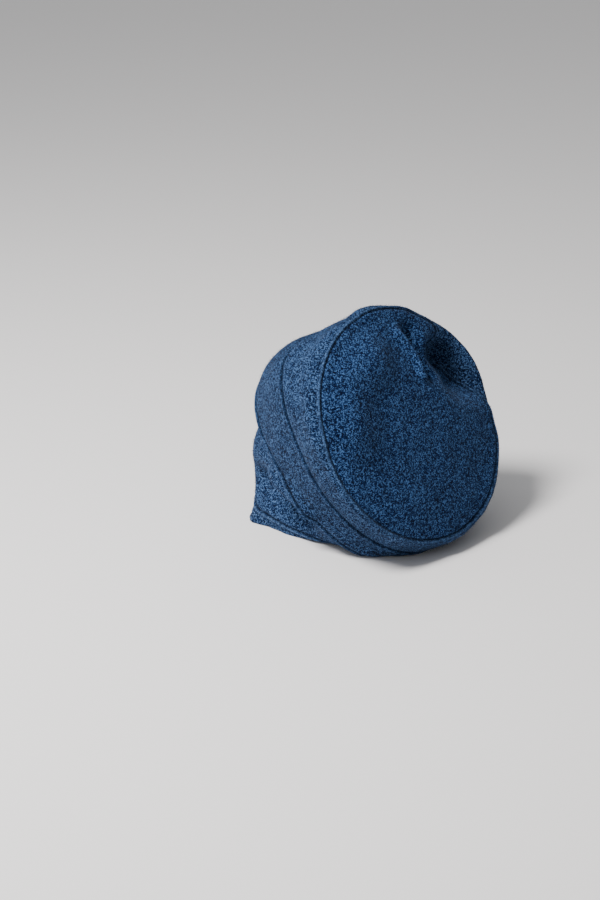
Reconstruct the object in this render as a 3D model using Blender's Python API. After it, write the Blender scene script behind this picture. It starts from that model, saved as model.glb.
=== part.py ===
"""A soft boiled wool cap, standing on its hem with the crown slumped forward.

The cap is one continuous cloth surface, sewn from a round crown panel and four rings. Every ring of the
surface is read from a short table of sections, and folds are added to it. Each panel is a stretch of that
surface with a wall of its own, and a narrow gap stands where the real panels are sewn edge to edge.

Metres, +Z up. The crown leans towards -Y. The origin is the bottom centre of the cap's box.
"""

import math
from collections import namedtuple

import bpy
import numpy as np

# The cloth
WALL = 0.0026
GROUND_ROUND = 0.005  # how softly the wall turns into the stretch that lies on the ground
SEAM_GAP = 0.0004

# The crown panel
CROWN_WIDTH = 0.225
CROWN_LEAN = math.radians(61.5)  # from level
CROWN_FOOT = 0.021  # the panel's lowest edge, above the ground
CROWN_PUFF = 0.011

# The hem, which lies on the ground
HEM_WIDE = 0.160
HEM_LONG = 0.139
HEM_BEHIND = 0.085  # from the crown's foot back to the hem's front edge
HEM_ASIDE = 0.004
HEM_DEEP = 0.018

# How finely the cloth is divided
STEPS_AROUND = 72
POLE_SHARE = 0.02  # the crown's smallest ring, as a share of the crown
LEAST_COSINE = 0.7  # of half the turn at a crease: past this the wall's mitre grows no longer
SLOPE_STEP = 0.06  # how far along the cloth its slope is measured
FOLD_POINTS = 7  # along a fold's middle line
TINY = 1e-12  # keeps a division from failing where two points coincide

Ring = namedtuple("Ring", "front_y front_z back_y back_z half_wide aside front_square back_square")

CROWN_RING = Ring(
    front_y=0.0,
    front_z=CROWN_FOOT,
    back_y=CROWN_WIDTH * math.cos(CROWN_LEAN),
    back_z=CROWN_FOOT + CROWN_WIDTH * math.sin(CROWN_LEAN),
    half_wide=CROWN_WIDTH / 2,
    aside=0.0,
    front_square=2.0,
    back_square=2.0,
)
HEM_RING = Ring(
    front_y=HEM_BEHIND,
    front_z=0.0,
    back_y=HEM_BEHIND + HEM_LONG,
    back_z=0.0,
    half_wide=HEM_WIDE / 2,
    aside=HEM_ASIDE,
    front_square=1.9,
    back_square=2.7,
)
HEM_SEAM_RING = HEM_RING._replace(front_y=HEM_BEHIND - HEM_DEEP, back_z=HEM_DEEP, front_square=2.5)

# Seams by their place along the cloth: the hem's edge is 0 and the middle of the crown is 5.
HEM_SEAM, LOWER_SEAM, MIDDLE_SEAM, CROWN_SEAM, CROWN_MIDDLE = 1.0, 2.0, 3.0, 4.0, 5.0

# Each section above the hem seam: a length is a share of the way from the hem ring's to the crown ring's.
# A front_z under 0 passes below the ground, where the cloth is pressed flat. How far a ring sits aside is a
# share of the crown's width.
Section = namedtuple(
    "Section", "along front_y front_z back_y back_z half_wide aside front_square back_square"
)
SECTIONS = (
    Section(1.35, 0.28, -0.30, 0.00, 0.25, 0.05, 0.008, 2.5, 2.6),
    Section(1.70, 0.38, -0.50, 0.02, 0.47, 0.22, 0.000, 2.4, 2.5),
    Section(2.00, 0.49, -0.60, 0.10, 0.67, 0.35, -0.010, 2.4, 2.4),
    Section(2.50, 0.61, -0.40, 0.32, 0.82, 0.57, -0.010, 2.1, 2.5),
    Section(3.00, 0.75, 0.0, 0.53, 0.905, 0.76, -0.005, 2.0, 2.6),
    Section(3.50, 0.92, 0.4, 0.71, 0.965, 1.08, 0.000, 2.0, 2.1),
    Section(3.80, 1.00, 0.7, 0.88, 1.005, 1.20, 0.000, 2.0, 2.0),
)

# Pinches: the cloth is drawn in towards the ring's middle and sunk along the crown's axis.
# Degrees around run from the cap's left (180) over the back (90) to its right (0).
Pinch = namedtuple("Pinch", "around along reach_around reach_down reach_up draw_in sink")
PINCHES = (
    Pinch(20, 4.00, 30, 0.32, 0.60, 0.06, 0.11),
    Pinch(20, 3.55, 45, 0.70, 0.35, -0.045, -0.050),
)

# Folds: a soft ridge (rise above 0) or valley between two places on the cloth.
# The rise and the reach are shares of the crown's width.
Fold = namedtuple("Fold", "around_a along_a around_b along_b reach rise")
FOLDS = (
    Fold(77, 4.24, 55, 4.56, 0.050, 0.024),
    Fold(66, 4.20, 46, 4.46, 0.072, -0.048),
    Fold(46, 4.42, 32, 4.06, 0.095, -0.044),
    Fold(42, 4.16, 29, 3.94, 0.080, -0.050),
    Fold(86, 2.95, 50, 2.95, 0.100, -0.022),
    Fold(118, 3.30, 84, 3.40, 0.120, 0.024),
    Fold(90, 3.86, 68, 3.86, 0.110, 0.014),
    Fold(185, 3.76, 258, 3.76, 0.140, -0.016),
    Fold(112, 4.36, 172, 4.28, 0.170, 0.030),
    Fold(335, 3.86, 300, 3.86, 0.100, 0.010),
    Fold(72, 3.30, 108, 3.20, 0.240, -0.060),
    Fold(196, 1.93, 150, 1.70, 0.080, 0.030),
    Fold(192, 1.58, 148, 1.36, 0.130, -0.066),
    Fold(158, 1.74, 120, 1.76, 0.130, -0.045),
    Fold(150, 0.00, 150, 0.20, 0.110, 0.034),
)


def table_rings():
    """All rings with real lengths, from the hem's edge, which is pressed flat, to the crown seam."""
    rings = [(0.0, HEM_RING._replace(front_z=-GROUND_ROUND, back_z=-GROUND_ROUND)), (HEM_SEAM, HEM_SEAM_RING)]
    for row in SECTIONS:
        ends = zip(HEM_RING[:5], CROWN_RING[:5], row[1:6])
        lengths = [start + (end - start) * share for start, end, share in ends]
        aside = row.aside * CROWN_WIDTH
        rings.append((row.along, Ring(*lengths, aside, row.front_square, row.back_square)))
    return rings + [(CROWN_SEAM, CROWN_RING)]


RINGS = table_rings()
PLACES = np.array([place for place, _ in RINGS])
LENGTHS = np.array([ring for _, ring in RINGS])


def slopes():
    """The rate of change of every length at each section, for a smooth run between them."""
    steps = np.diff(PLACES)[:, None]
    rates = np.diff(LENGTHS, axis=0) / steps
    inner = (rates[:-1] * steps[1:] + rates[1:] * steps[:-1]) / (steps[1:] + steps[:-1])
    return np.vstack([rates[:1], inner, rates[-1:]])


SLOPES = slopes()


def ring_at(along):
    """The ring at any place between the hem's edge and the crown seam."""
    i = int(np.clip(np.searchsorted(PLACES, along) - 1, 0, len(PLACES) - 2))
    step = PLACES[i + 1] - PLACES[i]
    t = (along - PLACES[i]) / step
    start, end = LENGTHS[i], LENGTHS[i + 1]
    return Ring(
        *(
            start * (2 * t**3 - 3 * t**2 + 1)
            + SLOPES[i] * step * (t**3 - 2 * t**2 + t)
            + end * (3 * t**2 - 2 * t**3)
            + SLOPES[i + 1] * step * (t**3 - t**2)
        )
    )


CROWN_AXIS = np.array([0.0, -math.sin(CROWN_LEAN), math.cos(CROWN_LEAN)])


def ring_points(ring, around):
    """Points of a ring: a rounded square that stands on the line from its front to its back."""
    cos, sin = np.cos(around), np.sin(around)
    square = np.where(sin < 0, ring.front_square, ring.back_square)
    reach = (np.abs(cos) ** square + np.abs(sin) ** square) ** (-1 / square)
    up = reach * sin
    return np.stack(
        [
            ring.aside + ring.half_wide * reach * cos,
            (ring.front_y + ring.back_y) / 2 + (ring.back_y - ring.front_y) / 2 * up,
            (ring.front_z + ring.back_z) / 2 + (ring.back_z - ring.front_z) / 2 * up,
        ],
        axis=-1,
    )


def middle_of(ring):
    return np.array([ring.aside, (ring.front_y + ring.back_y) / 2, (ring.front_z + ring.back_z) / 2])


def unit(vectors):
    return vectors / np.maximum(np.linalg.norm(vectors, axis=-1, keepdims=True), TINY)


def bump(distance):
    """1 at the middle of a fold, falling smoothly to 0 at its reach."""
    return np.where(distance < 1, (1 + np.cos(np.pi * np.minimum(distance, 1))) / 2, 0.0)


def plain_points(around, along):
    """The cloth before its folds. The crown panel's rings shrink to its middle and puff out a little."""
    if along <= CROWN_SEAM:
        points = ring_points(ring_at(along), around)
        middle = middle_of(ring_at(along))
    else:
        share = CROWN_MIDDLE - along
        middle = middle_of(CROWN_RING)
        points = middle + (ring_points(CROWN_RING, around) - middle) * share
        points = points + CROWN_AXIS * CROWN_PUFF * (1 - share**2)
    for pinch in PINCHES:
        turn = np.abs((np.degrees(around) - pinch.around + 180) % 360 - 180) / pinch.reach_around
        reach = pinch.reach_up if along > pinch.along else pinch.reach_down
        weight = bump(turn) * bump(np.array(abs(along - pinch.along) / reach))
        pull = unit(middle - points) * pinch.draw_in - CROWN_AXIS * pinch.sink
        points = points + weight[:, None] * pull * CROWN_WIDTH
    return points


def fold_path(fold):
    """Points along a fold's middle line, on the plain cloth."""
    shares = np.linspace(0, 1, FOLD_POINTS)
    around = np.radians(fold.around_a + (fold.around_b - fold.around_a) * shares)
    along = fold.along_a + (fold.along_b - fold.along_a) * shares
    return np.array([plain_points(np.array([a]), b)[0] for a, b in zip(around, along)])


def distance_to_path(points, path):
    """How far each point is from the nearest stretch of the path."""
    starts, spans = path[:-1], np.diff(path, axis=0)
    offsets = points[:, None] - starts
    share = np.clip((offsets * spans).sum(-1) / np.maximum((spans**2).sum(-1), TINY), 0, 1)
    return np.linalg.norm(offsets - share[..., None] * spans, axis=-1).min(axis=1)


FOLD_PATHS = [fold_path(fold) for fold in FOLDS]


def outward(around, along):
    """The plain cloth's outward direction, from the points a little way off on each side."""
    turn = math.pi / STEPS_AROUND
    low, high = max(along - SLOPE_STEP, 0.0), min(along + SLOPE_STEP, CROWN_MIDDLE - POLE_SHARE)
    across = plain_points(around + turn, along) - plain_points(around - turn, along)
    up = plain_points(around, high) - plain_points(around, low)
    return unit(np.cross(across, up))


def pressed(height):
    """The cloth's height where it meets the ground: flat below, and rounded up into the wall above."""
    turned = (height + GROUND_ROUND) ** 2 / (4 * GROUND_ROUND)
    return np.where(height > GROUND_ROUND, height, np.where(height > -GROUND_ROUND, turned, 0.0))


def cloth_points(around, along):
    """The cloth's outer face, with its folds, pressed flat where it meets the ground."""
    points = plain_points(around, along)
    normal = outward(around, along)
    for fold, path in zip(FOLDS, FOLD_PATHS):
        weight = bump(distance_to_path(points, path) / (fold.reach * CROWN_WIDTH))
        points = points + normal * weight[:, None] * fold.rise * CROWN_WIDTH
    points[:, 2] = pressed(points[:, 2])
    return points


AROUND = np.arange(STEPS_AROUND) * 2 * math.pi / STEPS_AROUND

Panel = namedtuple("Panel", "name low high rows colour")
PANELS = (
    Panel("hem_band", 0.0, HEM_SEAM, 3, (0.016, 0.040, 0.096)),
    Panel("lower_band", HEM_SEAM, LOWER_SEAM, 9, (0.015, 0.039, 0.094)),
    Panel("middle_band", LOWER_SEAM, MIDDLE_SEAM, 5, (0.013, 0.034, 0.086)),
    Panel("upper_band", MIDDLE_SEAM, CROWN_SEAM, 6, (0.014, 0.036, 0.090)),
    Panel("crown_panel", CROWN_SEAM, CROWN_MIDDLE, 12, (0.013, 0.039, 0.104)),
)


def wall_through(rows):
    """From each point of the outer face through the wall: the offset to the inner face, mitred at a crease."""
    across = np.roll(rows, -1, axis=1) - np.roll(rows, 1, axis=1)
    steps = np.diff(rows, axis=0)
    below = unit(np.cross(across, np.concatenate([steps[:1], steps])))
    above = unit(np.cross(across, np.concatenate([steps, steps[-1:]])))
    middle = unit(below + above)
    slant = np.maximum((middle * above).sum(axis=-1, keepdims=True), LEAST_COSINE)
    return -WALL * middle / slant


def cloth_rows():
    """The whole cloth's rows, hem to crown, as outer points and inner points, and the row where each panel ends."""
    places, ends = [0.0], [0]
    for panel in PANELS:
        places += list(np.linspace(panel.low, panel.high, panel.rows + 1)[1:])
        ends.append(len(places) - 1)
    places[-1] -= POLE_SHARE
    outer = np.array([cloth_points(AROUND, place) for place in places])
    outer[..., 2] = np.maximum(outer[..., 2], -wall_through(outer)[..., 2])  # no inner point below ground
    inner = outer + wall_through(outer)
    inner[..., 2] = np.maximum(inner[..., 2], 0)
    return outer, inner, ends


def panel_mesh(name, outer, inner, has_middle):
    """A closed wall between an outer and an inner face, trimmed by half a gap at each seam."""
    seams = [] if name == "hem_band" else [(0, 1)]
    if has_middle:
        middle = (outer[-1].mean(axis=0), inner[-1].mean(axis=0))
        outer, inner = outer[:-1].copy(), inner[:-1].copy()
    else:
        seams.append((-1, -2))
    for face in (outer, inner):
        for end, neighbour in seams:
            face[end] += unit(face[neighbour] - face[end]) * SEAM_GAP / 2
    count = STEPS_AROUND * len(outer)
    points = np.concatenate([outer.reshape(-1, 3), inner.reshape(-1, 3)])
    faces = []

    def strip(first, second):
        for i in range(STEPS_AROUND):
            j = (i + 1) % STEPS_AROUND
            faces.append((first + i, first + j, second + j, second + i))

    def first_rim():  # split across the same corners as the rim that it meets
        for i in range(STEPS_AROUND):
            j = (i + 1) % STEPS_AROUND
            faces.append((i, count + i, count + j, j))

    for start in range(0, count - STEPS_AROUND, STEPS_AROUND):
        strip(start, start + STEPS_AROUND)
        strip(count + start + STEPS_AROUND, count + start)
    first_rim()
    last = count - STEPS_AROUND
    if has_middle:
        points = np.concatenate([points, middle])
        for i in range(STEPS_AROUND):
            j = (i + 1) % STEPS_AROUND
            faces.append((last + i, last + j, 2 * count))
            faces.append((count + last + j, count + last + i, 2 * count + 1))
    else:
        strip(last, count + last)
    mesh = bpy.data.meshes.new(name)
    mesh.from_pydata(points.tolist(), [], faces)
    mesh.shade_smooth()
    return mesh


def wool(name, colour):
    """A dull, rough cloth."""
    material = bpy.data.materials.new(name)
    material.use_nodes = True
    surface = material.node_tree.nodes["Principled BSDF"]
    surface.inputs["Base Color"].default_value = (*colour, 1.0)
    surface.inputs["Roughness"].default_value = 0.95
    surface.inputs["Metallic"].default_value = 0.0
    return material


def main():
    for old in list(bpy.data.objects):
        bpy.data.objects.remove(old)
    cap = bpy.data.collections.new("boiled_wool_cap")
    bpy.context.scene.collection.children.link(cap)
    outer, inner, ends = cloth_rows()
    box_middle = (outer.min(axis=(0, 1)) + outer.max(axis=(0, 1))) / 2
    for panel, first, last in zip(PANELS, ends, ends[1:]):
        rows = slice(first, last + 1)
        mesh = panel_mesh(panel.name, outer[rows].copy(), inner[rows].copy(), panel.high == CROWN_MIDDLE)
        mesh.materials.append(wool(f"wool_{panel.name}", panel.colour))
        piece = bpy.data.objects.new(panel.name, mesh)
        piece.location = (-box_middle[0], -box_middle[1], 0.0)
        cap.objects.link(piece)


main()
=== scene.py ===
# %% [markdown]
# # A boiled wool cap
#
# This lesson dresses the plain solids of a soft cap. The real cap is cut from thick, felted wool: a round
# crown panel and four rings, sewn edge to edge. It stands on its hem, and the crown has slumped forward.
# The solids are loaded first. They stay as the cap's collision shape, and a finer piece of cloth takes the
# place of each one.

import math
from collections import namedtuple

import bmesh
import bpy
import numpy as np
from mathutils import Matrix, Vector, noise


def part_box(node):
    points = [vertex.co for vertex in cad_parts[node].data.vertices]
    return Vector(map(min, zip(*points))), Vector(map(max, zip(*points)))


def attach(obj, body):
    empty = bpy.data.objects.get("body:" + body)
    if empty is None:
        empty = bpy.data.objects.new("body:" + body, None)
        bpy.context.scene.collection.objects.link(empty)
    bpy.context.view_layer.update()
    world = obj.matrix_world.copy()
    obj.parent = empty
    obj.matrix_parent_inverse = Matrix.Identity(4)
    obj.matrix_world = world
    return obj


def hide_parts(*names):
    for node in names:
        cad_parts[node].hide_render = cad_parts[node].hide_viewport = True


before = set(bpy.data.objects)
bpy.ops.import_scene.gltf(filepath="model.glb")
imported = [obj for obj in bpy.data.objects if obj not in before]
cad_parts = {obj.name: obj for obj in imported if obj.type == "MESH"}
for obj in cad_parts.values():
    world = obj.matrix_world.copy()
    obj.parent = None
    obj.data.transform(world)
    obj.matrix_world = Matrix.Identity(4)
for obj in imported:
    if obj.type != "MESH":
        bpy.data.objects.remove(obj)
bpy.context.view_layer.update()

# %% [markdown]
# ## Camera
#
# A camera is a place and three directions. We turn it round the cap by an azimuth and lift it by an
# elevation, and then turn it a little further, so that the cap sits right of the picture's middle. A long
# lens keeps the perspective calm, as in a product picture.

# %% Place the camera
CAP_TARGET = Vector((-0.0573, -0.0611, 0.128))
CAMERA_AZIMUTH = math.radians(-49.0)
CAMERA_ELEVATION = math.radians(21.7)
CAMERA_AWAY = 1.81
FOCAL_PIXELS = 1950.0
ASIDE_PIXELS, UP_PIXELS = 82.0, 19.0
SENSOR_MM, PICTURE_PIXELS = 36.0, 900.0


def towards_viewer(azimuth, elevation):
    return Vector(
        (
            math.sin(azimuth) * math.cos(elevation),
            -math.cos(azimuth) * math.cos(elevation),
            math.sin(elevation),
        )
    )


eye = CAP_TARGET + CAMERA_AWAY * towards_viewer(CAMERA_AZIMUTH, CAMERA_ELEVATION)
look_azimuth = CAMERA_AZIMUTH + math.atan(ASIDE_PIXELS / FOCAL_PIXELS)
back = towards_viewer(look_azimuth, CAMERA_ELEVATION + math.atan(UP_PIXELS / FOCAL_PIXELS))
right = Vector((math.cos(look_azimuth), math.sin(look_azimuth), 0.0))
up = back.cross(right)

camera = bpy.data.objects.new("camera", bpy.data.cameras.new("camera"))
camera.data.lens = FOCAL_PIXELS * SENSOR_MM / PICTURE_PIXELS
camera.data.sensor_width = SENSOR_MM
camera.matrix_world = Matrix(
    [(right[i], up[i], back[i], eye[i]) for i in range(3)] + [(0.0, 0.0, 0.0, 1.0)]
)
bpy.context.scene.collection.objects.link(camera)
bpy.context.scene.camera = camera
print("camera at", [round(v, 3) for v in eye], "lens", round(camera.data.lens, 1), "mm")

# %% [markdown]
# ## Floor and light
#
# The cap stands on a plain pale floor. One large soft light stands to its upper left, so the rings are
# bright and the crown, which faces the other way, is darker. The pale sky fills the shadows from the left,
# and fades towards the right.

# %% Lay the floor
FLOOR_RADIUS = 9.0


def new_object(name, mesh):
    made = bpy.data.objects.new(name, mesh)
    bpy.context.scene.collection.objects.link(made)
    return made


floor_mesh = bpy.data.meshes.new("floor")
floor_form = bmesh.new()
bmesh.ops.create_circle(floor_form, cap_ends=True, segments=96, radius=FLOOR_RADIUS)
floor_form.to_mesh(floor_mesh)
floor_form.free()
floor = new_object("floor", floor_mesh)

floor_paint = bpy.data.materials.new("pale_floor")
floor_paint.use_nodes = True
floor_surface = floor_paint.node_tree.nodes["Principled BSDF"]
floor_surface.inputs["Base Color"].default_value = (0.87, 0.855, 0.855, 1.0)
floor_surface.inputs["Roughness"].default_value = 0.85
floor_surface.inputs["Specular IOR Level"].default_value = 0.2
floor_mesh.materials.append(floor_paint)
print("floor:", FLOOR_RADIUS, "m in radius")

# %% Set the lights
KEY_LIGHT_SIZE = 0.6
KEY_LIGHT_WATTS = 53.0
KEY_LIGHT_LEFT, KEY_LIGHT_NEARER, KEY_LIGHT_ABOVE = 0.85, 0.42, 1.40
SKY_STRENGTH = 0.60
SKY_RIGHT, SKY_LEFT = 0.05, 1.52

key_light = bpy.data.lights.new("key_light", "AREA")
key_light.shape = "DISK"
key_light.size = KEY_LIGHT_SIZE
key_light.energy = KEY_LIGHT_WATTS
key_light.color = (1.0, 0.985, 0.97)
level_back = Vector((back.x, back.y, 0.0)).normalized()
key_place = CAP_TARGET - KEY_LIGHT_LEFT * right + KEY_LIGHT_NEARER * level_back
key_place += Vector((0.0, 0.0, KEY_LIGHT_ABOVE))
key = bpy.data.objects.new("key_light", key_light)
key.location = key_place
key.rotation_euler = (key_place - CAP_TARGET).to_track_quat("Z", "Y").to_euler()
bpy.context.scene.collection.objects.link(key)

sky = bpy.data.worlds.new("sky")
sky.use_nodes = True
background = sky.node_tree.nodes["Background"]
background.inputs["Color"].default_value = (0.98, 0.99, 1.0, 1.0)
sky_place = sky.node_tree.nodes.new("ShaderNodeTexCoord")
sideways = sky.node_tree.nodes.new("ShaderNodeVectorMath")
sideways.operation = "DOT_PRODUCT"
sideways.inputs[1].default_value = right
fade = sky.node_tree.nodes.new("ShaderNodeMapRange")
fade.inputs["From Min"].default_value = -1.0
fade.inputs["To Min"].default_value = SKY_STRENGTH * SKY_LEFT
fade.inputs["To Max"].default_value = SKY_STRENGTH * SKY_RIGHT
sky.node_tree.links.new(sky_place.outputs["Generated"], sideways.inputs[0])
sky.node_tree.links.new(sideways.outputs["Value"], fade.inputs["Value"])
sky.node_tree.links.new(fade.outputs["Result"], background.inputs["Strength"])
bpy.context.scene.world = sky
print("key light at", [round(v, 2) for v in key_place])

# %% [markdown]
# ## The cap's shape
#
# The cloth is one surface. We read it as rings, from the hem's edge at place 0, over the seams at 1, 2, 3
# and 4, to the crown's middle at 5. Each ring is a rounded square between a front and a back point. The
# tables below give the rings as shares of the way from the hem to the crown, and then the pinches and folds
# that time and handling have left in the wool.

# %% Name the cap's sizes
WALL = 0.0026
GROUND_ROUND = 0.005
CROWN_WIDTH = 0.225
CROWN_LEAN = math.radians(61.5)
CROWN_FOOT = 0.021
CROWN_PUFF = 0.011
HEM_WIDE, HEM_LONG, HEM_BEHIND, HEM_ASIDE, HEM_DEEP = 0.160, 0.139, 0.085, 0.004, 0.018
CAP_MIDDLE = np.array([0.003240, 0.112094, 0.0])  # the middle of the cap's box, from the crown's foot
TINY = 1e-12

Ring = namedtuple("Ring", "front_y front_z back_y back_z half_wide aside front_square back_square")
CROWN_RING = Ring(
    front_y=0.0,
    front_z=CROWN_FOOT,
    back_y=CROWN_WIDTH * math.cos(CROWN_LEAN),
    back_z=CROWN_FOOT + CROWN_WIDTH * math.sin(CROWN_LEAN),
    half_wide=CROWN_WIDTH / 2,
    aside=0.0,
    front_square=2.0,
    back_square=2.0,
)
HEM_RING = Ring(HEM_BEHIND, 0.0, HEM_BEHIND + HEM_LONG, 0.0, HEM_WIDE / 2, HEM_ASIDE, 1.9, 2.7)
HEM_SEAM_RING = HEM_RING._replace(front_y=HEM_BEHIND - HEM_DEEP, back_z=HEM_DEEP, front_square=2.5)
CROWN_AXIS = np.array([0.0, -math.sin(CROWN_LEAN), math.cos(CROWN_LEAN)])
HEM_SEAM, LOWER_SEAM, MIDDLE_SEAM, CROWN_SEAM, CROWN_MIDDLE = 1.0, 2.0, 3.0, 4.0, 5.0
print("crown panel:", CROWN_WIDTH, "m wide, leaning", round(math.degrees(CROWN_LEAN), 1), "degrees")

# %% Tables of sections, pinches and folds
Section = namedtuple(
    "Section", "along front_y front_z back_y back_z half_wide aside front_square back_square"
)
SECTIONS = (
    Section(1.35, 0.28, -0.30, 0.00, 0.25, 0.05, 0.008, 2.5, 2.6),
    Section(1.70, 0.38, -0.50, 0.02, 0.47, 0.22, 0.000, 2.4, 2.5),
    Section(2.00, 0.49, -0.60, 0.10, 0.67, 0.35, -0.010, 2.4, 2.4),
    Section(2.50, 0.61, -0.40, 0.32, 0.82, 0.57, -0.010, 2.1, 2.5),
    Section(3.00, 0.75, 0.0, 0.53, 0.905, 0.76, -0.005, 2.0, 2.6),
    Section(3.50, 0.92, 0.4, 0.71, 0.965, 1.08, 0.000, 2.0, 2.1),
    Section(3.80, 1.00, 0.7, 0.88, 1.005, 1.20, 0.000, 2.0, 2.0),
)
Pinch = namedtuple("Pinch", "around along reach_around reach_down reach_up draw_in sink")
PINCHES = (
    Pinch(20, 4.00, 30, 0.32, 0.60, 0.06, 0.11),
    Pinch(20, 3.55, 45, 0.70, 0.35, -0.045, -0.050),
)
Fold = namedtuple("Fold", "around_a along_a around_b along_b reach rise")
FOLDS = (
    Fold(77, 4.24, 55, 4.56, 0.050, 0.024),
    Fold(66, 4.20, 46, 4.46, 0.072, -0.048),
    Fold(46, 4.42, 32, 4.06, 0.095, -0.044),
    Fold(42, 4.16, 29, 3.94, 0.080, -0.050),
    Fold(86, 2.95, 50, 2.95, 0.100, -0.022),
    Fold(118, 3.30, 84, 3.40, 0.120, 0.024),
    Fold(90, 3.86, 68, 3.86, 0.110, 0.014),
    Fold(185, 3.76, 258, 3.76, 0.140, -0.016),
    Fold(112, 4.36, 172, 4.28, 0.170, 0.030),
    Fold(335, 3.86, 300, 3.86, 0.100, 0.010),
    Fold(72, 3.30, 108, 3.20, 0.240, -0.060),
    Fold(196, 1.93, 150, 1.70, 0.080, 0.030),
    Fold(192, 1.58, 148, 1.36, 0.130, -0.066),
    Fold(158, 1.74, 120, 1.76, 0.130, -0.045),
    Fold(150, 0.00, 150, 0.20, 0.110, 0.034),
)
FOLD_POINTS = 7
POLE_SHARE = 0.02
SLOPE_STEP = 0.06
SLOPE_TURN = math.radians(2.5)
print(len(SECTIONS), "sections,", len(PINCHES), "pinches and", len(FOLDS), "folds")

# %% [markdown]
# ## From tables to a surface
#
# A smooth curve runs through every column of the table, so there is a ring at any place along the cloth.
# The pinches draw the rings in, the folds lift or sink the cloth along a line, and where the cloth meets the
# floor it is pressed flat. These are sculpt-like moves, but written as rules that can be read and changed.


# %% Rings between the table's rows
def all_rings():
    hem_edge = HEM_RING._replace(front_z=-GROUND_ROUND, back_z=-GROUND_ROUND)
    rings = [(0.0, hem_edge), (HEM_SEAM, HEM_SEAM_RING)]
    for row in SECTIONS:
        ends = zip(HEM_RING[:5], CROWN_RING[:5], row[1:6])
        lengths = [start + (end - start) * share for start, end, share in ends]
        rings.append(
            (row.along, Ring(*lengths, row.aside * CROWN_WIDTH, row.front_square, row.back_square))
        )
    return rings + [(CROWN_SEAM, CROWN_RING)]


PLACES = np.array([place for place, _ in all_rings()])
LENGTHS = np.array([ring for _, ring in all_rings()])
PLACE_STEPS = np.diff(PLACES)[:, None]
RATES = np.diff(LENGTHS, axis=0) / PLACE_STEPS
INNER_SLOPES = (RATES[:-1] * PLACE_STEPS[1:] + RATES[1:] * PLACE_STEPS[:-1]) / (
    PLACE_STEPS[1:] + PLACE_STEPS[:-1]
)
SLOPES = np.vstack([RATES[:1], INNER_SLOPES, RATES[-1:]])


def ring_at(along):
    """The ring at any place, by a smooth cubic through the table's rows."""
    i = int(np.clip(np.searchsorted(PLACES, along) - 1, 0, len(PLACES) - 2))
    step = PLACES[i + 1] - PLACES[i]
    t = (along - PLACES[i]) / step
    return Ring(
        *(
            LENGTHS[i] * (2 * t**3 - 3 * t**2 + 1)
            + SLOPES[i] * step * (t**3 - 2 * t**2 + t)
            + LENGTHS[i + 1] * (3 * t**2 - 2 * t**3)
            + SLOPES[i + 1] * step * (t**3 - t**2)
        )
    )


def middle_of(ring):
    return np.array([ring.aside, (ring.front_y + ring.back_y) / 2, (ring.front_z + ring.back_z) / 2])


def ring_points(ring, around):
    """A rounded square that stands on the line from the ring's front to its back."""
    cos, sin = np.cos(around), np.sin(around)
    square = np.where(sin < 0, ring.front_square, ring.back_square)
    reach = (np.abs(cos) ** square + np.abs(sin) ** square) ** (-1 / square)
    rise = reach * sin
    half = np.array([(ring.back_y - ring.front_y) / 2, (ring.back_z - ring.front_z) / 2])
    middle = middle_of(ring)
    return np.stack(
        [middle[0] + ring.half_wide * reach * cos, middle[1] + half[0] * rise, middle[2] + half[1] * rise],
        axis=-1,
    )


print("the lower band's upper seam is", round(2 * float(ring_at(LOWER_SEAM).half_wide), 3), "m across")

# %% Pinches and folds
def unit(vectors):
    return vectors / np.maximum(np.linalg.norm(vectors, axis=-1, keepdims=True), TINY)


def bump(distance):
    """1 at the middle of a fold, falling smoothly to 0 at its reach."""
    return np.where(distance < 1, (1 + np.cos(np.pi * np.minimum(distance, 1))) / 2, 0.0)


def plain_points(around, along):
    """The cloth before its folds."""
    ring = ring_at(min(along, CROWN_SEAM))
    points, middle = ring_points(ring, around), middle_of(ring)
    if along > CROWN_SEAM:
        share = CROWN_MIDDLE - along
        points = middle + (points - middle) * share + CROWN_AXIS * CROWN_PUFF * (1 - share**2)
    for pinch in PINCHES:
        turn = np.abs((np.degrees(around) - pinch.around + 180) % 360 - 180) / pinch.reach_around
        reach = pinch.reach_up if along > pinch.along else pinch.reach_down
        weight = bump(turn) * bump(np.array(abs(along - pinch.along) / reach))
        pull = unit(middle - points) * pinch.draw_in - CROWN_AXIS * pinch.sink
        points = points + weight[:, None] * pull * CROWN_WIDTH
    return points


def fold_path(fold):
    shares = np.linspace(0, 1, FOLD_POINTS)
    around = np.radians(fold.around_a + (fold.around_b - fold.around_a) * shares)
    along = fold.along_a + (fold.along_b - fold.along_a) * shares
    return np.array([plain_points(np.array([a]), b)[0] for a, b in zip(around, along)])


def distance_to_path(points, path):
    starts, spans = path[:-1], np.diff(path, axis=0)
    offsets = points[:, None] - starts
    share = np.clip((offsets * spans).sum(-1) / np.maximum((spans**2).sum(-1), TINY), 0, 1)
    return np.linalg.norm(offsets - share[..., None] * spans, axis=-1).min(axis=1)


def outward(around, along):
    low, high = max(along - SLOPE_STEP, 0.0), min(along + SLOPE_STEP, CROWN_MIDDLE - POLE_SHARE)
    across = plain_points(around + SLOPE_TURN, along) - plain_points(around - SLOPE_TURN, along)
    return unit(np.cross(across, plain_points(around, high) - plain_points(around, low)))


FOLD_PATHS = [fold_path(fold) for fold in FOLDS]


def folded_points(around, along):
    """The cloth's outer face with its folds, before the floor presses it."""
    points = plain_points(around, along)
    normal = outward(around, along)
    for fold, path in zip(FOLDS, FOLD_PATHS):
        weight = bump(distance_to_path(points, path) / (fold.reach * CROWN_WIDTH))
        points = points + normal * weight[:, None] * fold.rise * CROWN_WIDTH
    return points


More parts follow.
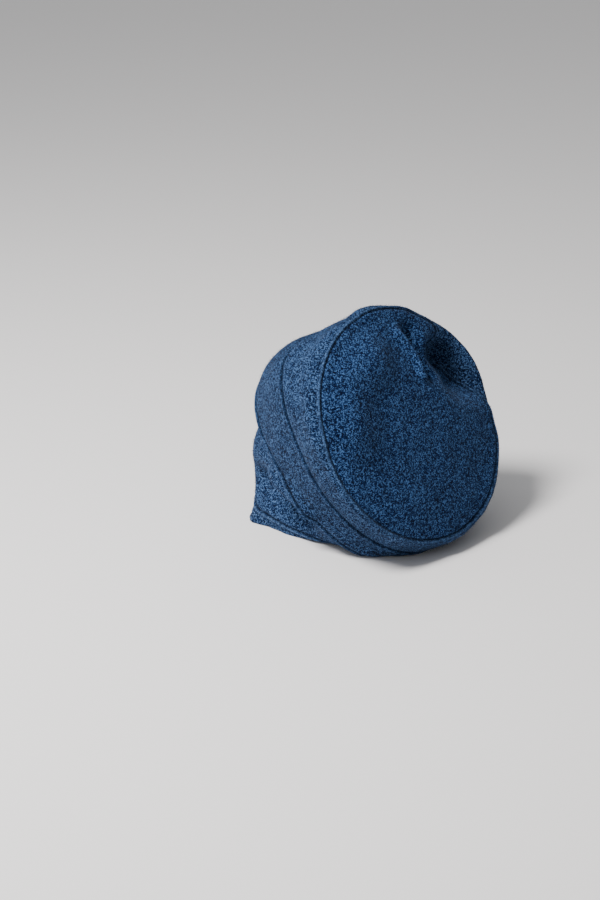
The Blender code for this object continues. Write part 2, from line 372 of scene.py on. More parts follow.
def pressed(height):
    """Flat below the floor, and rounded up into the wall above it."""
    turned = (height + GROUND_ROUND) ** 2 / (4 * GROUND_ROUND)
    return np.where(height > GROUND_ROUND, height, np.where(height > -GROUND_ROUND, turned, 0.0))


print("fold lines:", len(FOLD_PATHS), "of", FOLD_POINTS, "points each")

# %% [markdown]
# ## Seams, laps and the rolled hem
#
# At each seam the lower ring's edge is turned under and laps over its neighbour, and a row of stitches holds
# it. So the lower ring ends in a soft raised lip, and the upper one dips under it. A short table gives the
# height of the cloth by its distance from the seam.

# %% Edge tables
Edge = namedtuple("Edge", "distance height")
LAP = (
    Edge(0.0000, -0.0018),
    Edge(0.0004, -0.0006),
    Edge(0.0009, 0.0006),
    Edge(0.0017, 0.0013),
    Edge(0.0027, 0.0012),
    Edge(0.0036, 0.0005),
    Edge(0.0043, -0.0001),
    Edge(0.0052, 0.0003),
    Edge(0.0070, 0.0001),
    Edge(0.0095, 0.0000),
)
TUCK = (
    Edge(0.0000, -0.0016),
    Edge(0.0006, -0.0014),
    Edge(0.0013, -0.0008),
    Edge(0.0022, -0.0003),
    Edge(0.0036, 0.0000),
    Edge(0.0060, 0.0001),
    Edge(0.0095, 0.0000),
)
ROLL = (
    Edge(0.0000, -0.0013),
    Edge(0.0002, -0.0007),
    Edge(0.0006, -0.0003),
    Edge(0.0013, 0.0000),
    Edge(0.0030, 0.0001),
    Edge(0.0095, 0.0000),
)
EDGE_ROWS = np.array(
    [0.0, 0.0002, 0.0006, 0.0011, 0.0017, 0.0024, 0.0032, 0.0040, 0.0048, 0.0060, 0.0075, 0.0095]
)

Panel = namedtuple("Panel", "piece node low high low_edge high_edge middle_rows")
PANELS = (
    Panel("hem_cloth", "hem_band", 0.0, HEM_SEAM, ROLL, LAP, 3),
    Panel("lower_cloth", "lower_band", HEM_SEAM, LOWER_SEAM, TUCK, LAP, 62),
    Panel("middle_cloth", "middle_band", LOWER_SEAM, MIDDLE_SEAM, TUCK, LAP, 34),
    Panel("upper_cloth", "upper_band", MIDDLE_SEAM, CROWN_SEAM, TUCK, LAP, 40),
    Panel("crown_cloth", "crown_panel", CROWN_SEAM, CROWN_MIDDLE, TUCK, (), 52),
)
print("panels:", [panel.node for panel in PANELS])

# %% [markdown]
# ## Even rows of cloth
#
# The table's places aren't evenly spaced on the cloth, because the rings are narrow in front and wide at the
# back. We walk up each column in small steps, measure the way, and set the rows again at true distances:
# close together beside a seam, where the lip turns sharply, and wider apart between.

# %% Measure and divide a panel
COLUMNS = 360
DENSE_STEPS = 160
EDGE_SHARE = 0.45  # of a short column, at most, for the close rows beside one seam
AROUND = np.arange(COLUMNS) * 2 * math.pi / COLUMNS


def panel_rows(panel):
    """Rows of points at true distances, with each row's distance from both of the panel's ends."""
    high = min(panel.high, CROWN_MIDDLE - POLE_SHARE)
    dense = np.array([folded_points(AROUND, place) for place in np.linspace(panel.low, high, DENSE_STEPS)])
    dense[..., 2] = pressed(dense[..., 2])
    steps = np.linalg.norm(np.diff(dense, axis=0), axis=-1)
    way = np.concatenate([np.zeros((1, COLUMNS)), np.cumsum(steps, axis=0)])
    length = way[-1]
    squeeze = np.minimum(1.0, EDGE_SHARE * length / EDGE_ROWS[-1])
    first = EDGE_ROWS[:, None] * squeeze
    last = length - EDGE_ROWS[::-1, None] * squeeze if panel.high_edge else length[None]
    shares = np.linspace(0, 1, panel.middle_rows + 2)[1:-1, None]
    between = first[-1] + (last[0] - first[-1]) * shares
    places = np.concatenate([first, between, last])
    rows = np.empty((len(places), COLUMNS, 3))
    for column in range(COLUMNS):
        for axis in range(3):
            rows[:, column, axis] = np.interp(places[:, column], way[:, column], dense[:, column, axis])
    return rows, places, length - places


def edge_height(edge, distance):
    if not edge:
        return np.zeros_like(distance)
    return np.interp(distance, [point.distance for point in edge], [point.height for point in edge])


def normals_of(rows):
    across = np.roll(rows, -1, axis=1) - np.roll(rows, 1, axis=1)
    return unit(np.cross(across, np.gradient(rows, axis=0)))


print(COLUMNS, "columns, with", len(EDGE_ROWS), "close rows beside each seam")

# %% [markdown]
# ## The hand of the cloth
#
# Boiled wool never lies quite flat. Soft waves a finger or two wide and small dents give it life. A noise
# field, read at each point of the cloth, lifts and sinks it by up to about a millimetre.

# %% Waves in the cloth
Wave = namedtuple("Wave", "size height")
WAVES = (Wave(0.034, 0.0011), Wave(0.013, 0.00045), Wave(0.006, 0.00018))


def waves_at(points):
    heights = np.zeros(len(points))
    for turn, wave in enumerate(WAVES):
        shift = Vector((3.1 * turn, 1.7, 0.4))
        heights += [wave.height * noise.noise(Vector(point) / wave.size + shift) for point in points]
    return heights


print("waves:", [f"{wave.size} m wide, {wave.height} m high" for wave in WAVES])

# %% [markdown]
# ## A closed wall of cloth
#
# Each panel is a sheet with a real thickness: an outer face, an inner face, and rims that join them. The
# inner face needs fewer rows, since little of it shows. Two numbers are kept at every point for the
# finish: how deep it lies in a seam, where painted shade darkens the groove, and how high it stands on a
# raised lip, where a painted highlight makes the cloth paler.


# %% The faces of a wall
def wall_faces(outer_rows, inner_rows, closed_top):
    """Faces over both sides and the lower rim, and then an upper rim or the two closed middles."""
    here = np.arange(COLUMNS)
    there = (here + 1) % COLUMNS
    count = outer_rows * COLUMNS
    last_outer = count - COLUMNS
    last_inner = count + (inner_rows - 1) * COLUMNS
    faces = []

    def strip(low, high):
        faces.extend(np.stack([low + here, low + there, high + there, high + here], axis=1).tolist())

    for i in range(outer_rows - 1):
        strip(i * COLUMNS, (i + 1) * COLUMNS)
    for i in range(inner_rows - 1):
        strip(count + (i + 1) * COLUMNS, count + i * COLUMNS)
    strip(count, 0)
    if closed_top:
        tip = count + inner_rows * COLUMNS
        pairs = list(zip(here.tolist(), there.tolist()))
        faces.extend([last_outer + i, last_outer + j, tip] for i, j in pairs)
        faces.extend([last_inner + j, last_inner + i, tip + 1] for i, j in pairs)
    else:
        strip(last_outer, last_inner)
    return faces


print("the smallest closed ring of cloth has", len(wall_faces(2, 1, False)), "faces")

# %% Build a panel
INNER_FIRST = {0, 2, 5, 9}
INNER_FROM, INNER_EVERY = 12, 4
# Painted shade darkens the cloth this close to a seam.
SEAM_DARK = 0.0015
# A painted highlight pales the raised lips: it starts where the cloth stands this high, and is full this much
# higher.
LIP_HIGHLIGHT_FROM, LIP_HIGHLIGHT_OVER = 0.0003, 0.0009
CALM_BESIDE_SEAM = 0.008
MIN_FLOOR = 0.0001
NAP_FROM_FLOOR = 0.004


def panel_mesh(panel):
    rows, from_low, from_high = panel_rows(panel)
    rows = rows - CAP_MIDDLE
    normal = normals_of(rows)
    height = edge_height(panel.low_edge, from_low) + edge_height(panel.high_edge, from_high)
    # How strongly painted shade darkens each point in a seam's groove.
    seam = np.zeros_like(from_low)
    if panel.low > 0:
        seam = np.maximum(seam, np.clip(1 - from_low / SEAM_DARK, 0, 1))
    if panel.high_edge:
        seam = np.maximum(seam, np.clip(1 - from_high / SEAM_DARK, 0, 1))
    # How strongly the painted highlight pales each point of a raised lip.
    lip_highlight = np.clip((height - LIP_HIGHLIGHT_FROM) / LIP_HIGHLIGHT_OVER, 0, 1)
    waves = waves_at(rows.reshape(-1, 3)).reshape(height.shape)
    from_seam = np.minimum(from_low, from_high) if panel.high_edge else from_low
    calm = np.clip(from_seam / CALM_BESIDE_SEAM, 0, 1)
    outer = rows + normal * (height + waves * calm)[..., None]
    inner = rows - normal * WALL
    lift = np.maximum(MIN_FLOOR - np.minimum(outer[..., 2], inner[..., 2]), 0)
    outer[..., 2] += lift
    inner[..., 2] += lift
    kept = sorted(INNER_FIRST | {len(rows) - 1} | set(range(INNER_FROM, len(rows) - 1, INNER_EVERY)))
    inner = inner[kept]

    closed_top = not panel.high_edge
    points = [outer.reshape(-1, 3), inner.reshape(-1, 3)]
    if closed_top:
        points += [outer[-1].mean(axis=0, keepdims=True), inner[-1].mean(axis=0, keepdims=True)]
    points = np.concatenate(points)
    mesh = bpy.data.meshes.new(panel.piece)
    mesh.from_pydata(points.tolist(), [], wall_faces(len(outer), len(inner), closed_top))
    for name, values in (("seam", seam), ("lip_highlight", lip_highlight)):
        layer = mesh.attributes.new(name, "FLOAT", "POINT")
        flat = np.zeros(len(points), dtype=np.float32)
        flat[: values.size] = values.reshape(-1)
        layer.data.foreach_set("value", flat)
    napped = np.zeros(len(mesh.polygons), dtype=bool)
    clear = (outer[:-1, :, 2] > NAP_FROM_FLOOR) & (seam[:-1] == 0) & (seam[1:] == 0)
    napped[: clear.size] = clear.reshape(-1)
    mesh.attributes.new("napped", "BOOLEAN", "FACE").data.foreach_set("value", napped)
    mesh.shade_smooth()
    return mesh, outer, normal, from_high


# %% Make the five panels
cloth = {}
for panel in PANELS:
    mesh, outer_rows, row_normals, from_high = panel_mesh(panel)
    piece = new_object(panel.piece, mesh)
    cloth[panel.piece] = (piece, outer_rows, row_normals, from_high)
    low, high = outer_rows.min(axis=(0, 1)), outer_rows.max(axis=(0, 1))
    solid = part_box(panel.node)
    print(panel.piece, len(mesh.polygons), "faces, box", low.round(4), high.round(4), "solid", solid)

# %% [markdown]
# ## The finish: heather-blue boiled wool
#
# The yarn is spun from dark and pale fibres, so the felt is speckled: near-black blue hollows, mid blue, and
# pale blue tips, in specks of about a millimetre. One shader group holds that pattern. It gives a colour,
# a roughness and a height for the bump, and each panel's material feeds it with its own tones. Its colour
# also holds painted shade in the seams' grooves and a painted highlight on the raised lips.

# %% The wool group's sockets
WOOL_INPUTS = (
    ("Deep", "NodeSocketColor"),
    ("Middle", "NodeSocketColor"),
    ("Pale", "NodeSocketColor"),
    ("Speck Size", "NodeSocketFloat"),
    # The last two inputs say where painted shade darkens a seam's groove and where a painted highlight pales
    # a raised lip.
    ("Seam", "NodeSocketFloat"),
    ("Lip_highlight", "NodeSocketFloat"),
)
WOOL_OUTPUTS = (
    ("Color", "NodeSocketColor"),
    ("Roughness", "NodeSocketFloat"),
    ("Height", "NodeSocketFloat"),
)
BOILED_WOOL = bpy.data.node_groups.new("boiled_wool", "ShaderNodeTree")
for label, kind in WOOL_INPUTS:
    BOILED_WOOL.interface.new_socket(label, in_out="INPUT", socket_type=kind)
for label, kind in WOOL_OUTPUTS:
    BOILED_WOOL.interface.new_socket(label, in_out="OUTPUT", socket_type=kind)
wool_nodes, wool_links = BOILED_WOOL.nodes, BOILED_WOOL.links
wool_start = wool_nodes.new("NodeGroupInput")
wool_end = wool_nodes.new("NodeGroupOutput")
wool_place = wool_nodes.new("ShaderNodeTexCoord")
print("boiled_wool takes", [label for label, _ in WOOL_INPUTS], "gives", [label for label, _ in WOOL_OUTPUTS])


# %% Helpers for the wool's nodes
def math_node(operation, a, b):
    node = wool_nodes.new("ShaderNodeMath")
    node.operation = operation
    for socket, value in zip(node.inputs, (a, b)):
        if isinstance(value, (int, float)):
            socket.default_value = value
        else:
            wool_links.new(value, socket)
    return node.outputs[0]


def times(a, b):
    return math_node("MULTIPLY", a, b)


def plus(a, b):
    return math_node("ADD", a, b)


def spread(value, low, high):
    """0 below low, 1 above high, and a smooth step between."""
    node = wool_nodes.new("ShaderNodeMapRange")
    node.interpolation_type = "SMOOTHSTEP"
    wool_links.new(value, node.inputs["Value"])
    node.inputs["From Min"].default_value = low
    node.inputs["From Max"].default_value = high
    return node.outputs["Result"]


def blend(mask, a, b):
    """Colour a where the mask is 0, and colour b where it is 1."""
    node = wool_nodes.new("ShaderNodeMix")
    node.data_type = "RGBA"
    wool_links.new(mask, node.inputs["Factor"])
    for socket, value in ((node.inputs[6], a), (node.inputs[7], b)):
        if isinstance(value, tuple):
            socket.default_value = value
        else:
            wool_links.new(value, socket)
    return node.outputs[2]


# %% Grains of several sizes
Grain = namedtuple("Grain", "size detail shift")
SPECKS = Grain(1.0, 1.0, (0.0, 0.0, 0.0))
CURLS = Grain(0.5, 1.0, (0.3, 0.1, 0.7))
CLUMPS = Grain(3.2, 1.0, (0.5, 0.8, 0.1))
PATCHES = Grain(14.0, 2.0, (0.9, 0.4, 0.2))
speck_size = wool_start.outputs["Speck Size"]


def noise_of(grain):
    """A noise whose grains are about as wide as the grain's size, counted in specks."""
    moved = wool_nodes.new("ShaderNodeMapping")
    moved.inputs["Location"].default_value = grain.shift
    wool_links.new(wool_place.outputs["Object"], moved.inputs["Vector"])
    node = wool_nodes.new("ShaderNodeTexNoise")
    wool_links.new(moved.outputs[0], node.inputs["Vector"])
    wool_links.new(math_node("DIVIDE", 1.0, times(speck_size, grain.size)), node.inputs["Scale"])
    node.inputs["Detail"].default_value = grain.detail
    return node.outputs["Fac"]


def tufts_of(size):
    """A value of its own for every tuft of wool, each about size wide."""
    node = wool_nodes.new("ShaderNodeTexVoronoi")
    wool_links.new(wool_place.outputs["Object"], node.inputs["Vector"])
    wool_links.new(math_node("DIVIDE", 1.0, size), node.inputs["Scale"])
    return node.outputs["Color"]


specks, curls, clumps, patches = [noise_of(grain) for grain in (SPECKS, CURLS, CLUMPS, PATCHES)]
tufts = tufts_of(speck_size)
print("boiled_wool has", len(wool_nodes), "nodes so far")

# %% Mix the wool's pattern
SPECKS_SHARE, CURLS_SHARE = 0.55, 0.45
HAIRS_SHARE, CLUMPS_SHARE, TUFTS_SHARE = 0.56, 0.08, 0.36
DEEP_TO_MIDDLE, MIDDLE_TO_PALE, PATCH_EDGE = (0.37, 0.46), (0.51, 0.60), (0.35, 0.65)
# The second number is how much the painted highlight pales the raised lips.
PATCH_DARK, LIP_HIGHLIGHT_SHARE = 0.16, 0.22
# Painted shade darkens the seams' grooves, more in some clumps than others, towards this near-black blue.
SEAM_EVENLY, SEAM_IN_CLUMPS = 0.45, 0.8
SEAM_SHADE_COLOUR = (0.003, 0.008, 0.022, 1.0)
LEAST_ROUGH, ROUGHER_WHERE_PALE = 0.86, 0.14

deep, middle, pale = [wool_start.outputs[label] for label in ("Deep", "Middle", "Pale")]
hairs = plus(times(specks, SPECKS_SHARE), times(curls, CURLS_SHARE))
mixed = plus(times(hairs, HAIRS_SHARE), times(clumps, CLUMPS_SHARE))
mixed = plus(mixed, times(tufts, TUFTS_SHARE))
colour = blend(spread(mixed, *DEEP_TO_MIDDLE), deep, middle)
colour = blend(spread(mixed, *MIDDLE_TO_PALE), colour, pale)
colour = blend(times(spread(patches, *PATCH_EDGE), PATCH_DARK), colour, deep)
# A painted highlight pales the raised lips.
colour = blend(times(wool_start.outputs["Lip_highlight"], LIP_HIGHLIGHT_SHARE), colour, pale)
# Painted shade darkens the seams' grooves, unevenly with the clumps.
seam_shade = times(wool_start.outputs["Seam"], plus(SEAM_EVENLY, times(clumps, SEAM_IN_CLUMPS)))
colour = blend(seam_shade, colour, SEAM_SHADE_COLOUR)
wool_links.new(colour, wool_end.inputs["Color"])
wool_links.new(plus(LEAST_ROUGH, times(mixed, ROUGHER_WHERE_PALE)), wool_end.inputs["Roughness"])
wool_links.new(hairs, wool_end.inputs["Height"])
print("boiled_wool:", len(wool_nodes), "nodes and", len(wool_links), "links")

# %% [markdown]
# ## A material for each panel
#
# All the panels are cut from the same bolt, so the cloth's own tone is the same on each. The tones below
# still differ from panel to panel, because each was set to how bright that panel looks under this light: the
# differences are painted light and shade, lightest on the hem and darkest on the middle band. Sheen gives
# the felt its pale, dusty edge where we look along it. It is set on the shader's own sockets, since it is
# the same everywhere on the cloth.

# %% Wool materials
Tone = namedtuple("Tone", "node deep middle pale")
# The three tones are the cloth's speckle; how they differ from panel to panel is painted light and shade.
TONES = (
    Tone("hem_band", (0.0001, 0.0007, 0.006), (0.0026, 0.0155, 0.060), (0.090, 0.162, 0.312)),
    Tone("lower_band", (0.0001, 0.0005, 0.004), (0.0013, 0.0106, 0.046), (0.074, 0.145, 0.298)),
    Tone("middle_band", (0.0001, 0.0004, 0.003), (0.0008, 0.0072, 0.033), (0.058, 0.120, 0.258)),
    Tone("upper_band", (0.0001, 0.0005, 0.004), (0.0011, 0.0090, 0.039), (0.066, 0.134, 0.282)),
    Tone("crown_panel", (0.0001, 0.0005, 0.005), (0.0004, 0.0078, 0.043), (0.060, 0.144, 0.334)),
)
SPECK_SIZE = 0.0010
BUMP_HEIGHT = 0.0010


def wool_material(tone):
    material = bpy.data.materials.new(f"wool_{tone.node}")
    material.use_nodes = True
    nodes, links = material.node_tree.nodes, material.node_tree.links
    surface = nodes["Principled BSDF"]
    wool = nodes.new("ShaderNodeGroup")
    wool.node_tree = BOILED_WOOL
    wool.inputs["Deep"].default_value = (*tone.deep, 1.0)
    wool.inputs["Middle"].default_value = (*tone.middle, 1.0)
    wool.inputs["Pale"].default_value = (*tone.pale, 1.0)
    wool.inputs["Speck Size"].default_value = SPECK_SIZE
    # The seams' painted shade and the lips' painted highlight are read from the cloth.
    for name in ("seam", "lip_highlight"):
        reader = nodes.new("ShaderNodeAttribute")
        reader.attribute_name = name
        links.new(reader.outputs["Fac"], wool.inputs[name.capitalize()])
    relief = nodes.new("ShaderNodeBump")
    relief.inputs["Strength"].default_value = 1.0
    relief.inputs["Distance"].default_value = BUMP_HEIGHT
    links.new(wool.outputs["Height"], relief.inputs["Height"])
    links.new(wool.outputs["Color"], surface.inputs["Base Color"])
    links.new(wool.outputs["Roughness"], surface.inputs["Roughness"])
    links.new(relief.outputs["Normal"], surface.inputs["Normal"])
    surface.inputs["Specular IOR Level"].default_value = 0.08
    surface.inputs["Sheen Weight"].default_value = 0.05
    surface.inputs["Sheen Roughness"].default_value = 0.4
    surface.inputs["Sheen Tint"].default_value = (0.55, 0.68, 0.90, 1.0)
    return material


wool_of = {tone.node: wool_material(tone) for tone in TONES}
for panel in PANELS:
    cloth[panel.piece][0].data.materials.append(wool_of[panel.node])
print("materials:", [material.name for material in wool_of.values()])

# %% [markdown]
# ## Rules for what repeats
#
# Stitches and wool fibres are many copies of one small shape. Geometry Nodes place them: we build each tree
# here, give it named sizes, and then turn its result into a plain mesh, so that nothing is left to work out
# later.


# %% A small kit for Geometry Nodes
def new_tree(name, inputs):
    tree = bpy.data.node_groups.new(name, "GeometryNodeTree")
    tree.interface.new_socket("Geometry", in_out="INPUT", socket_type="NodeSocketGeometry")
    for label, kind in inputs:
        tree.interface.new_socket(label, in_out="INPUT", socket_type=kind)
    tree.interface.new_socket("Geometry", in_out="OUTPUT", socket_type="NodeSocketGeometry")
    return tree, tree.nodes.new("NodeGroupInput"), tree.nodes.new("NodeGroupOutput")


def add_node(tree, kind, sets=(), **wires):
    """A node with its properties set and its inputs wired or given a value, by the sockets' names."""
    node = tree.nodes.new(kind)
    for name, value in dict(sets).items():
        setattr(node, name, value)
    for name, value in wires.items():
        socket = next(s for s in node.inputs if s.name == name.replace("_", " ") and s.enabled)
        if isinstance(value, bpy.types.NodeSocket):
            tree.links.new(value, socket)
        else:
            socket.default_value = value
    return node


def plain_result(source_mesh, tree, values, name):
    """Runs a tree on a mesh and keeps the result as a plain mesh object."""
    carrier = new_object(name + "_carrier", source_mesh)
    modifier = carrier.modifiers.new("rule", "NODES")
    modifier.node_group = tree
    for item in tree.interface.items_tree:
        if item.in_out == "INPUT" and item.name in values:
            modifier[item.identifier] = values[item.name]
    bpy.context.view_layer.update()
    evaluated = carrier.evaluated_get(bpy.context.evaluated_depsgraph_get())
    mesh = bpy.data.meshes.new_from_object(evaluated)
    mesh.name = name
    carrier.modifiers.remove(modifier)
    bpy.data.objects.remove(carrier)
    return new_object(name, mesh)


# %% [markdown]
# ## Stitches
#
# A row of stitches in dark blue thread runs beside each seam, on the side that laps over. The row is a line
# of points on the cloth, a few millimetres from the seam. Curve to Points walks along it by the pitch, and a
# small round-ended stitch is turned along the seam and laid flat on the cloth.

# %% The stitch rule
STITCH_FROM_SEAM = 0.0043
STITCH_PITCH = 0.0032
STITCH_LONG, STITCH_WIDE, STITCH_TALL = 0.0025, 0.00050, 0.00036
STITCH_SUNK = 0.00002

stitch_tree, begin, finish = new_tree(
    "stitch_rule",
    (("Pitch", "NodeSocketFloat"), ("Stitch Size", "NodeSocketVector"), ("Material", "NodeSocketMaterial")),
)
line = add_node(stitch_tree, "GeometryNodeMeshToCurve", Mesh=begin.outputs["Geometry"])
spots = add_node(
    stitch_tree,
    "GeometryNodeCurveToPoints",
    {"mode": "LENGTH"},
    Curve=line.outputs[0],
    Length=begin.outputs["Pitch"],
)
away = add_node(stitch_tree, "GeometryNodeInputNamedAttribute", {"data_type": "FLOAT_VECTOR"}, Name="away")
along_seam = add_node(
    stitch_tree, "FunctionNodeAlignRotationToVector", {"axis": "X"}, Vector=spots.outputs["Tangent"]
)
flat_on_cloth = add_node(
    stitch_tree,
    "FunctionNodeAlignRotationToVector",
    {"axis": "Z", "pivot_axis": "X"},
    Rotation=along_seam.outputs[0],
    Vector=away.outputs[0],
)
ball = add_node(stitch_tree, "GeometryNodeMeshUVSphere", Segments=6, Rings=4, Radius=0.5)
stitch = add_node(
    stitch_tree, "GeometryNodeTransform", Geometry=ball.outputs["Mesh"], Scale=begin.outputs["Stitch Size"]
)
laid = add_node(
    stitch_tree,
    "GeometryNodeInstanceOnPoints",
    Points=spots.outputs["Points"],
    Instance=stitch.outputs[0],
    Rotation=flat_on_cloth.outputs[0],
)
real = add_node(stitch_tree, "GeometryNodeRealizeInstances", Geometry=laid.outputs[0])
threaded = add_node(
    stitch_tree, "GeometryNodeSetMaterial", Geometry=real.outputs[0], Material=begin.outputs["Material"]
)
stitch_tree.links.new(threaded.outputs[0], finish.inputs["Geometry"])
print("stitch rule:", len(stitch_tree.nodes), "nodes, a stitch every", STITCH_PITCH, "m")


# %% Sew the rows
def thread_material():
    """Dark blue thread: fine specks between two tones, a little glossier than the wool."""
    material = bpy.data.materials.new("sewing_thread")
    material.use_nodes = True
    nodes, links = material.node_tree.nodes, material.node_tree.links
    surface = nodes["Principled BSDF"]
    place = nodes.new("ShaderNodeTexCoord")
    twist = nodes.new("ShaderNodeTexNoise")
    twist.inputs["Scale"].default_value = 2600.0
    links.new(place.outputs["Object"], twist.inputs["Vector"])
    tone = nodes.new("ShaderNodeMix")
    tone.data_type = "RGBA"
    tone.inputs[6].default_value = (0.0010, 0.0050, 0.0200, 1.0)
    tone.inputs[7].default_value = (0.0090, 0.0270, 0.0800, 1.0)
    links.new(twist.outputs["Fac"], tone.inputs["Factor"])
    links.new(tone.outputs[2], surface.inputs["Base Color"])
    surface.inputs["Roughness"].default_value = 0.6
    surface.inputs["Specular IOR Level"].default_value = 0.3
    return material


THREAD = thread_material()


def stitch_line(panel):
    """A closed line of points beside the panel's upper seam, each with the cloth's outward direction."""
    _, outer_rows, row_normals, from_high = cloth[panel.piece]
    points = np.empty((COLUMNS, 3))
    away_from = np.empty((COLUMNS, 3))
    for column in range(COLUMNS):
        gaps = from_high[::-1, column]
        for axis in range(3):
            points[column, axis] = np.interp(STITCH_FROM_SEAM, gaps, outer_rows[::-1, column, axis])
            away_from[column, axis] = np.interp(STITCH_FROM_SEAM, gaps, row_normals[::-1, column, axis])
    points -= away_from * STITCH_SUNK
    mesh = bpy.data.meshes.new(panel.node + "_line")
    edges = [(i, (i + 1) % COLUMNS) for i in range(COLUMNS)]
    mesh.from_pydata(points.tolist(), edges, [])
    away_layer = mesh.attributes.new("away", "FLOAT_VECTOR", "POINT")
    away_layer.data.foreach_set("vector", away_from.astype(np.float32).reshape(-1))
    return mesh


STITCH_VALUES = {
    "Pitch": STITCH_PITCH,
    "Stitch Size": (STITCH_LONG, STITCH_WIDE, STITCH_TALL),
    "Material": THREAD,
}
stitches = {}
for panel in PANELS:
    if panel.high_edge:
        label = panel.node.replace("band", "stitches")
        stitches[panel.node] = plain_result(stitch_line(panel), stitch_tree, STITCH_VALUES, label)
        print(label, len(stitches[panel.node].data.polygons), "faces")

# %% [markdown]
# ## Wool fuzz
#
# What makes felt look soft is the fibres that stand off it. They break up the outline and catch the light.
# Distribute Points scatters them over the outer faces, and each one leans its own way. They keep away from
# the floor and out of the seams, where the nap is worn down.

# %% The fuzz rule: roots on the cloth
FUZZ_DENSITY = 230000.0
FUZZ_LONG, FUZZ_THICK, FUZZ_BEND = 0.0026, 0.00007, 0.5
FUZZ_LEAN = 1.15
FUZZ_SMALLEST, FUZZ_LARGEST = 0.45, 1.25
FUZZ_SEED = 11

fuzz_tree, begin, finish = new_tree(
    "fuzz_rule",
    (
        ("Density", "NodeSocketFloat"),
        ("Length", "NodeSocketFloat"),
        ("Thickness", "NodeSocketFloat"),
        ("Bend", "NodeSocketFloat"),
        ("Lean", "NodeSocketFloat"),
        ("Seed", "NodeSocketInt"),
        ("Material", "NodeSocketMaterial"),
    ),
)
nap = add_node(fuzz_tree, "GeometryNodeInputNamedAttribute", {"data_type": "BOOLEAN"}, Name="napped")
faces = add_node(
    fuzz_tree,
    "GeometryNodeSeparateGeometry",
    {"domain": "FACE"},
    Geometry=begin.outputs["Geometry"],
    Selection=nap.outputs[0],
)
roots = add_node(
    fuzz_tree,
    "GeometryNodeDistributePointsOnFaces",
    Mesh=faces.outputs["Selection"],
    Density=begin.outputs["Density"],
    Seed=begin.outputs["Seed"],
)
print("fuzz rule: roots on the napped faces,", round(FUZZ_DENSITY / 10000), "to a square centimetre")

# %% The fuzz rule: one bent fibre
spike = add_node(
    fuzz_tree,
    "GeometryNodeMeshCone",
    {"fill_type": "NGON"},
    Vertices=3,
    Side_Segments=2,
    Radius_Top=0.0,
    Radius_Bottom=begin.outputs["Thickness"],
    Depth=begin.outputs["Length"],
)
spot = add_node(fuzz_tree, "GeometryNodeInputPosition")
parts = add_node(fuzz_tree, "ShaderNodeSeparateXYZ", Vector=spot.outputs[0])
share = add_node(fuzz_tree, "ShaderNodeMath", {"operation": "DIVIDE"})
fuzz_tree.links.new(parts.outputs["Z"], share.inputs[0])
fuzz_tree.links.new(begin.outputs["Length"], share.inputs[1])
curve = add_node(fuzz_tree, "ShaderNodeMath", {"operation": "MULTIPLY"})
fuzz_tree.links.new(share.outputs[0], curve.inputs[0])
fuzz_tree.links.new(parts.outputs["Z"], curve.inputs[1])
sideways_shift = add_node(fuzz_tree, "ShaderNodeMath", {"operation": "MULTIPLY"})
fuzz_tree.links.new(curve.outputs[0], sideways_shift.inputs[0])
fuzz_tree.links.new(begin.outputs["Bend"], sideways_shift.inputs[1])
shift = add_node(fuzz_tree, "ShaderNodeCombineXYZ", X=sideways_shift.outputs[0])
fibre = add_node(
    fuzz_tree, "GeometryNodeSetPosition", Geometry=spike.outputs["Mesh"], Offset=shift.outputs[0]
)
print("fuzz rule: a fibre", FUZZ_LONG, "m long and", 2 * FUZZ_THICK, "m thick at its root")

# %% The fuzz rule: lean, growth and tone
lean_low = add_node(fuzz_tree, "ShaderNodeMath", {"operation": "MULTIPLY"})
lean_low.inputs[1].default_value = -1.0
fuzz_tree.links.new(begin.outputs["Lean"], lean_low.inputs[0])
least = add_node(fuzz_tree, "ShaderNodeCombineXYZ", X=lean_low.outputs[0], Y=lean_low.outputs[0], Z=0.0)
most = add_node(
    fuzz_tree, "ShaderNodeCombineXYZ", X=begin.outputs["Lean"], Y=begin.outputs["Lean"], Z=2 * math.pi
)
turn = add_node(
    fuzz_tree,
    "FunctionNodeRandomValue",
    {"data_type": "FLOAT_VECTOR"},
    Min=least.outputs[0],
    Max=most.outputs[0],
    Seed=begin.outputs["Seed"],
)
leaning = add_node(
    fuzz_tree,
    "FunctionNodeRotateRotation",
    {"rotation_space": "LOCAL"},
    Rotation=roots.outputs["Rotation"],
    Rotate_By=turn.outputs[0],
)
growth = add_node(
    fuzz_tree,
    "FunctionNodeRandomValue",
    {"data_type": "FLOAT"},
    Min=FUZZ_SMALLEST,
    Max=FUZZ_LARGEST,
    Seed=begin.outputs["Seed"],
)
grown = add_node(
    fuzz_tree,
    "GeometryNodeInstanceOnPoints",
    Points=roots.outputs["Points"],
    Instance=fibre.outputs[0],
    Rotation=leaning.outputs[0],
    Scale=growth.outputs[1],
)
paleness = add_node(fuzz_tree, "FunctionNodeRandomValue", {"data_type": "FLOAT"}, Seed=begin.outputs["Seed"])
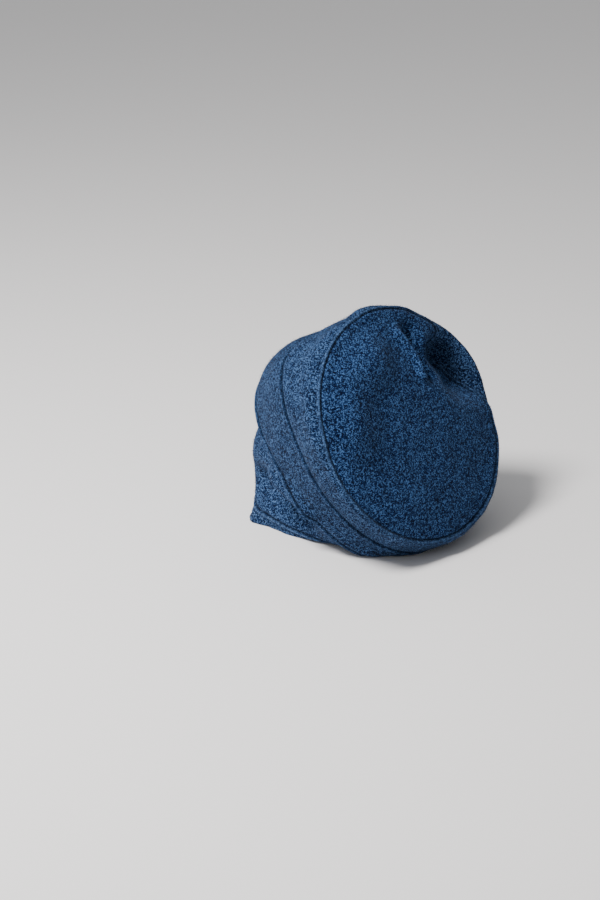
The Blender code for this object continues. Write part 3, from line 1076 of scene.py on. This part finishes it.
toned = add_node(
    fuzz_tree,
    "GeometryNodeStoreNamedAttribute",
    {"data_type": "FLOAT", "domain": "INSTANCE"},
    Geometry=grown.outputs[0],
    Name="paleness",
    Value=paleness.outputs[1],
)
real = add_node(fuzz_tree, "GeometryNodeRealizeInstances", Geometry=toned.outputs[0])
woolly = add_node(
    fuzz_tree, "GeometryNodeSetMaterial", Geometry=real.outputs[0], Material=begin.outputs["Material"]
)
fuzz_tree.links.new(woolly.outputs[0], finish.inputs["Geometry"])
print("fuzz rule:", len(fuzz_tree.nodes), "nodes")


# %% Grow the fuzz
def fibre_material():
    """Single wool fibres, from dark to pale blue, each with its own share of paleness."""
    material = bpy.data.materials.new("wool_fibre")
    material.use_nodes = True
    nodes, links = material.node_tree.nodes, material.node_tree.links
    surface = nodes["Principled BSDF"]
    reader = nodes.new("ShaderNodeAttribute")
    reader.attribute_name = "paleness"
    tone = nodes.new("ShaderNodeValToRGB")
    tone.color_ramp.elements[0].color = (0.0005, 0.0040, 0.0220, 1.0)
    tone.color_ramp.elements[1].color = (0.0260, 0.0760, 0.1900, 1.0)
    links.new(reader.outputs["Fac"], tone.inputs["Fac"])
    links.new(tone.outputs["Color"], surface.inputs["Base Color"])
    surface.inputs["Roughness"].default_value = 0.8
    surface.inputs["Specular IOR Level"].default_value = 0.2
    return material


FIBRE = fibre_material()
fuzz = {}
for number, panel in enumerate(PANELS):
    values = {
        "Density": FUZZ_DENSITY,
        "Length": FUZZ_LONG,
        "Thickness": FUZZ_THICK,
        "Bend": FUZZ_BEND,
        "Lean": FUZZ_LEAN,
        "Seed": FUZZ_SEED + number,
        "Material": FIBRE,
    }
    label = panel.piece.replace("cloth", "fuzz")
    fuzz[panel.node] = plain_result(cloth[panel.piece][0].data.copy(), fuzz_tree, values, label)
    print(label, len(fuzz[panel.node].data.polygons), "faces")

# %% [markdown]
# ## Join the pieces to the solids
#
# Each piece rides on the cap's one body and stands for its solid, which is hidden.

# %% Ride, replace and finish
for panel in PANELS:
    piece = cloth[panel.piece][0]
    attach(piece, "root")
    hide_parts(panel.node)
    for extra in (stitches.get(panel.node), fuzz[panel.node]):
        if extra:
            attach(extra, "root")
